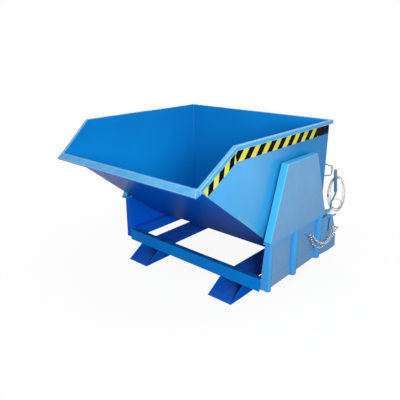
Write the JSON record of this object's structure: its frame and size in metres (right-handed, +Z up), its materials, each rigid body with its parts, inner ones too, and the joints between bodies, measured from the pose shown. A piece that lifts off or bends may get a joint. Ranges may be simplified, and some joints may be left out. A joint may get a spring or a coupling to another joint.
{
  "type": "forklift tipping skip",
  "caption": "Sheet-steel tipping skip for a forklift: a sloped tub pivoted between bearing towers on a base with fork pockets, held by a hand-lever latch, with safety chain and release rope.",
  "frame": {"origin": "On the ground, on the plane of symmetry of the base, halfway along the fork pockets.", "axes": "+Z up; +Y to the rear, away from the pour lip and towards the truck; +X to the side with latch, lever and chain."},
  "size_m": [1.3382, 1.4506, 1.02],
  "materials": {
    "blue_paint": "satin blue paint on steel sheet",
    "warning_tape": "black and yellow striped adhesive tape",
    "bare_steel": "turned or drawn steel, lightly oiled",
    "bearing_bronze": "turned bearing bronze",
    "zinc_chain": "zinc-plated welded chain",
    "wire_rope": "galvanised wire rope in a clear sleeve",
    "ferrule_metal": "pressed aluminium ferrule"
  },
  "bodies": {
    "base": {"fork_pocket_left": "blue_paint", "fork_pocket_right": "blue_paint", "front_beam": "blue_paint", "rear_beam": "blue_paint", "front_post_left": "blue_paint", "front_post_right": "blue_paint", "rear_post_left": "blue_paint", "rear_post_right": "blue_paint", "side_rail_left": "blue_paint", "side_rail_right": "blue_paint", "side_wall_left": "blue_paint", "side_wall_right": "blue_paint", "front_rib_left": "blue_paint", "front_rib_right": "blue_paint", "rear_rib_left": "blue_paint", "rear_rib_right": "blue_paint", "skirts": "blue_paint", "rear_cheeks": "blue_paint", "rest_blocks": "blue_paint", "cap_left": "blue_paint", "cap_right": "blue_paint", "tower_left": "blue_paint", "tower_right": "blue_paint", "bearing_pillar_left": "blue_paint", "bearing_pillar_right": "blue_paint", "bearing_block_left": "blue_paint", "bearing_block_right": "blue_paint", "pivot_bush_left": "bearing_bronze", "pivot_bush_right": "bearing_bronze", "latch_pin": "bare_steel", "latch_bracket": "blue_paint", "latch_guard": "blue_paint", "latch_spring": "bare_steel", "chain_lower": "zinc_chain", "chain_upper": "zinc_chain", "chain_hook": "blue_paint", "chain_anchor": "blue_paint"},
    "tub": {"side_sheet_left": "blue_paint", "side_sheet_right": "blue_paint", "floor_sheet": "blue_paint", "rear_sheet": "blue_paint", "side_rim_left": "blue_paint", "side_rim_right": "blue_paint", "rear_rim": "blue_paint", "pour_lip": "blue_paint", "hazard_tape_left": "warning_tape", "hazard_tape_right": "warning_tape", "edge_strips": "blue_paint", "pivot_plate_left": "blue_paint", "pivot_plate_right": "blue_paint", "pivot_pin_left": "bare_steel", "pivot_pin_right": "bare_steel", "latch_stud": "blue_paint", "rope_bail": "blue_paint"},
    "latch": {"latch_hook": "blue_paint", "lever_rod": "blue_paint", "lever_grip": "blue_paint", "rope_peg": "blue_paint", "rope_coil": "wire_rope", "rope_ferrules": "ferrule_metal"}
  },
  "joints": [
    {"name": "tub_tilt", "type": "hinge", "parent": "base", "child": "tub", "pos_m": [0, -0.191, 0.52], "axis": [1, 0, 0], "range_deg": [0, 60]},
    {"name": "latch_pull", "type": "hinge", "parent": "base", "child": "latch", "pos_m": [0.619, 0.345, 0.325], "axis": [-1, 0, 0], "range_deg": [0, 15], "stiffness_Nm_per_rad": 21, "springref_deg": -8.77, "deforming": ["latch_spring"]}
  ]
}
